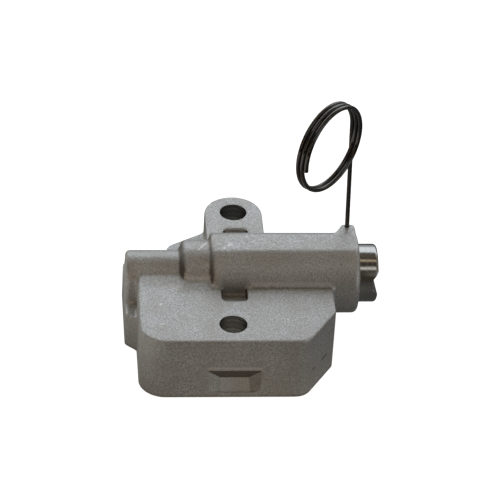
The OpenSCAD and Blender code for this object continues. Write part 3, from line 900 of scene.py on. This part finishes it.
# Fillets at the foot of the spindle: range of X, lowest height, and whether a line of painted shade lies
# under them
FILLETS = (((5.2, 25.0), 17.0, True), ((-11.0, -4.6), 17.35, False))
FILLET_Y = (13, 18)
FILLET_H = 1.6
FILLET_FACING = -0.2
# Painted lines along a fillet, of shade and of highlight: how high they lie over its foot, half their width
# and their shade
FILLET_SHADE = (0.1, 0.35, 0.6)
FILLET_HIGHLIGHT = (0.95, 0.55, -0.4)
# Nicks from handling, bright or filled with dirt: two ends and a shade. Half their width
NICKS = (
    ((-7.4, 22.7, 22.4), (-5.2, 25.7, 22.3), -0.6),
    ((-1.5, 21.6, 23.7), (-0.8, 21.9, 23.7), -0.7),
    ((0.1, 24.1, 23.7), (0.9, 22.7, 23.7), -0.5),
    ((-0.2, 22.5, 23.7), (0.6, 23.7, 23.7), -0.6),
    ((-17.3, 7.9, 17.0), (-17.0, 7.9, 17.0), -0.8),
    ((-17.6, 0.2, 17.0), (-16.9, 0.2, 17.0), -0.6),
    ((22.1, -0.1, 6.3), (23.4, 2.0, 6.1), 0.75),
    ((19.6, -3.9, 6.3), (20.0, -3.2, 6.0), 0.6),
)
NICK_R = 0.28


def line_shade(value, middle, half, shade):
    """A soft line: its full shade in the middle, and none at its edges."""
    return shade * ramp(abs(value - middle), half, 0.0)


def fillet_shade(rise, lined):
    """A painted highlight along a fillet, with a line of painted shade under it where one is listed."""
    soil_and_shade = line_shade(rise, *FILLET_SHADE) if lined else 0.0
    return soil_and_shade + line_shade(rise, *FILLET_HIGHLIGHT)


def off_line(place, start, end):
    """How far a place lies from a straight nick."""
    start = Vector(start)
    run = Vector(end) - start
    along_run = ramp((place - start).dot(run), 0.0, run.length_squared)
    return (place - start - run * along_run).length


def shade_light_and_wear_at(place, normal, middle, facing):
    """Painted shade, highlight and wear of a corner, by its place and normal and its face's middle and
    normal.
    """
    if inside(middle, *SCOOP_BOX):
        return scoop_shade(facing)
    if any(inside(place, *box) for box in SLOT_BOXES):
        return slot_shade(place, facing)
    if place.y < BROW_FRONT_Y and between(place.x, BROW_X):
        return line_shade(place.z, *BROW_LINE)
    for start, end, shade in NICKS:
        if off_line(place, start, end) < NICK_R:
            return shade
    for span, low, lined in FILLETS:
        on_fillet = normal.y < FILLET_FACING and between(place.y, FILLET_Y) and place.z - low < FILLET_H
        if on_fillet and between(place.x, span):
            return fillet_shade(place.z - low, lined)
    if place.z - BLOCK_H / MM > STEP_CLEAR and any(between(place.x, band) for band in STEP_BANDS):
        return step_shade(place, normal)
    if normal.y < GLOOM_FACING and between(place.y, GLOOM_Y):
        return gloom_shade(place)
    return 0.0


print("painted highlight lines:", 1 + len(FILLETS), "and nicks:", len(NICKS))

# %% Paint the casting
CREASE = math.radians(30)
ON_FACE = 0.02 * MM
WALL_FACING = 0.5


def machined(face):
    """Bolt hole walls and the mounting face."""
    middle = face.calc_center_median()
    if middle.z < ON_FACE:
        return True
    near = [math.hypot(middle.x - b.x, middle.y - b.y) < BOLT_R + ON_FACE for b in BOLTS]
    return any(near) and abs(face.normal.z) < WALL_FACING


def shade_smooth(shape):
    """Shades every face smooth, and keeps creases sharp."""
    for face in shape.faces:
        face.smooth = True
    for edge in shape.edges:
        edge.smooth = edge.calc_face_angle(0.0) < CREASE


def dress(piece, node, body):
    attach(piece, body)
    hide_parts(node)


housing.data.materials.clear()
housing.data.materials.append(CAST)
housing.data.materials.append(BORED)
skin = bmesh.new()
skin.from_mesh(housing.data)
skin.normal_update()
# Painted shade, painted highlights and nicks of wear, one value on every corner of the mesh
shade_light_and_wear = skin.loops.layers.float.new(SHADE_LIGHT_AND_WEAR)
for face in skin.faces:
    face.material_index = 1 if machined(face) else 0
    middle = face.calc_center_bounds() / MM
    for corner in face.loops:
        corner[shade_light_and_wear] = shade_light_and_wear_at(corner.vert.co / MM, corner.vert.normal, middle, face.normal)
shade_smooth(skin)
skin.to_mesh(housing.data)
skin.free()
dress(housing, "housing", "housing")
triangles = sum(len(f.vertices) - 2 for f in housing.data.polygons)
print("housing:", triangles, "triangles")

# %% [markdown]
# ## Turned and pressed pieces
# The plunger, the valve seat, the ball and its cage are turned, ground or pressed, and the CAD already has
# their true shapes. Their edges are too sharp, though: a real edge is always broken a little, and it catches
# the light. We copy each CAD mesh, weld it, join the triangles of each flat face, and a Bevel modifier then
# breaks the edges by about a tenth of a millimetre. Only creases take part, so round sides stay as they are.

# %% Copies with broken edges
FLAT_ANGLE = math.radians(0.3)


def finished_copy(node, name, finish, edge_round):
    """Copies a CAD node, welds it and breaks its sharp edges."""
    shape = welded(node)
    bmesh.ops.dissolve_limit(shape, angle_limit=FLAT_ANGLE, verts=shape.verts, edges=shape.edges)
    weight = shape.edges.layers.float.new("bevel_weight_edge")
    shade_smooth(shape)
    sharp = [edge for edge in shape.edges if not edge.smooth]
    for edge in sharp:
        edge[weight] = 1.0
    for face in shape.faces:
        face.material_index = 0
    print(name, len(shape.faces), "faces,", len(sharp), "edges broken")
    piece = to_object(name, shape)
    for layer in ("custom_normal", "sharp_face"):
        if layer in piece.data.attributes:
            piece.data.attributes.remove(piece.data.attributes[layer])
    piece.data.materials.append(finish)
    if edge_round:
        bevel = piece.modifiers.new("broken_edges", "BEVEL")
        bevel.limit_method = "WEIGHT"
        bevel.width = edge_round
        bevel.segments = 2
        bevel.profile = 0.5
        bevel.use_clamp_overlap = False
        bevel.harden_normals = True
    return piece


plunger = finished_copy("plunger", "plunger_rod", TURNED, edge_round=0.12 * MM)
dress(plunger, "plunger", "plunger")

# %% Check valve
seat = finished_copy("valve_seat", "valve_seat_ring", GROUND, edge_round=0.1 * MM)
dress(seat, "valve_seat", "housing")
ball = finished_copy("check_ball", "check_ball_bearing", GROUND, edge_round=0.0)
dress(ball, "check_ball", "check_ball")
cage = finished_copy("ball_cage", "ball_cage_cap", PRESSED, edge_round=0.1 * MM)
dress(cage, "ball_cage", "housing")

# %% [markdown]
# ## The lock pin
# The pin is one length of wire: a straight leg, and a pull ring of about two and a half turns. Wire is a
# circle carried along a path. A curve with a bevel would do, but the spin operator makes a coil directly: it
# turns the circle about the coil's axis and moves it on by a small step each time. The leg is the same
# circle, extruded downwards.

# %% Wire helpers
STEPS_A_TURN = 56


def wire_circle(shape, centre, first, second, radius, sides):
    """A circle of wire in the plane of two directions, as its edges."""
    place = Matrix((first, second, first.cross(second))).transposed().to_4x4()
    place.translation = centre
    made = bmesh.ops.create_circle(shape, cap_ends=False, radius=radius, segments=sides, matrix=place)
    return list({e for v in made["verts"] for e in v.link_edges})


def coil_on(shape, edges, centre, axis, degrees, advance):
    """Carries a circle of wire round an axis while it advances along it, and gives back its last circle."""
    steps = max(2, round(abs(degrees) / 360 * STEPS_A_TURN))
    made = bmesh.ops.spin(
        shape, geom=edges, cent=centre, axis=axis, dvec=axis * advance / steps,
        angle=math.radians(degrees), steps=steps, use_merge=False, use_duplicate=False,
    )
    return [g for g in made["geom_last"] if isinstance(g, bmesh.types.BMEdge)]


def run_on(shape, edges, step, shrink=1.0):
    """Extrudes a circle of wire by a step, and gives back its last circle."""
    made = bmesh.ops.extrude_edge_only(shape, edges=edges)["geom"]
    verts = [g for g in made if isinstance(g, bmesh.types.BMVert)]
    bmesh.ops.translate(shape, verts=verts, vec=step)
    middle = sum((v.co for v in verts), Vector()) / len(verts)
    bmesh.ops.scale(shape, verts=verts, vec=(shrink,) * 3, space=Matrix.Translation(-middle))
    return [g for g in made if isinstance(g, bmesh.types.BMEdge)]


def wire_piece(name, shape, finish):
    """Closes the ends of a wire and makes it a piece."""
    bmesh.ops.holes_fill(shape, edges=[e for e in shape.edges if e.is_boundary], sides=0)
    bmesh.ops.recalc_face_normals(shape, faces=shape.faces)
    shade_smooth(shape)
    print(name, len(shape.faces), "faces")
    piece = to_object(name, shape)
    piece.data.materials.append(finish)
    return piece


# %% Lock pin
PIN_R = 0.55 * MM
PIN_TIP_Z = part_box("lock_pin")[0].z
PIN_TAPER = 0.35 * MM
LEG_TOP_Z = 24.269 * MM
LEG_LEAN = 0.85 * MM
RING_R = 10.89 * MM
RING_Z = 53.6 * MM
RING_HEADING = math.radians(47)
RING_SWEEP = 904
RING_PITCH = 1.22 * MM
WIRE_SIDES = 20

ring_out = Vector((math.cos(RING_HEADING), math.sin(RING_HEADING), 0))
ring_axis = Vector((math.sin(RING_HEADING), -math.cos(RING_HEADING), 0))
ring_start = PIN_AT + Vector((-LEG_LEAN, 0, RING_Z))
hub = ring_start - ring_out * RING_R

pin_shape = bmesh.new()
ring_foot = wire_circle(pin_shape, ring_start, ring_out, ring_axis, PIN_R, WIRE_SIDES)
lower = run_on(pin_shape, ring_foot, Vector((LEG_LEAN, 0, LEG_TOP_Z - RING_Z)))
lower = run_on(pin_shape, lower, Vector((0, 0, PIN_TIP_Z + PIN_TAPER - LEG_TOP_Z)))
run_on(pin_shape, lower, Vector((0, 0, -PIN_TAPER)), 1 - PIN_TAPER / PIN_R)
coil_on(pin_shape, ring_foot, hub, ring_axis, RING_SWEEP, RING_PITCH * RING_SWEEP / 360)
lock_pin = wire_piece("lock_pin_wire", pin_shape, BLACK_WIRE)
dress(lock_pin, "lock_pin", "lock_pin")

# %% [markdown]
# ## The springs
# A compression spring is three spins in a row: a closed turn, the open turns and another closed turn. A
# spring sits between two pieces that move, so it can't simply ride on one of them. The plunger spring is
# left where it is built, and the check ball's spring rides with the housing.

# %% Compression springs
SPRING_SIDES = 14


def compression_spring(name, wire_r, mean_r, start_x, length, turns):
    """A coil along +X with a closed turn at either end."""
    shape = bmesh.new()
    wire_d = 2 * wire_r
    axis = Vector((1, 0, 0))
    foot = Vector((start_x + wire_r, AXIS_Y, AXIS_Z))
    out = Vector((0, 0, -1))
    edges = wire_circle(shape, foot + out * mean_r, out, axis, wire_r, SPRING_SIDES)
    # The two closed turns and the wire itself take three diameters
    open_pitch = (length - 3 * wire_d) / (turns - 2)
    for count, pitch in ((1, wire_d), (turns - 2, open_pitch), (1, wire_d)):
        edges = coil_on(shape, edges, foot, axis, 360 * count, pitch * count)
    return wire_piece(name, shape, SPRING)


def along(node):
    """Where a node starts along X, and its length."""
    low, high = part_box(node)
    return low.x, high.x - low.x


spring_x, spring_len = along("plunger_spring")
spring = compression_spring(
    "plunger_spring_coil", wire_r=0.6 * MM, mean_r=4.0 * MM, start_x=spring_x, length=spring_len, turns=11
)
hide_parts("plunger_spring")
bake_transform(spring)

light_x, light_len = along("ball_spring")
light_spring = compression_spring(
    "ball_spring_coil", wire_r=0.15 * MM, mean_r=1.125 * MM, start_x=light_x, length=light_len, turns=5
)
dress(light_spring, "ball_spring", "housing")
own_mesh(light_spring)
print("plunger spring", round(spring_len / MM, 2), "mm, ball spring", round(light_len / MM, 2), "mm")
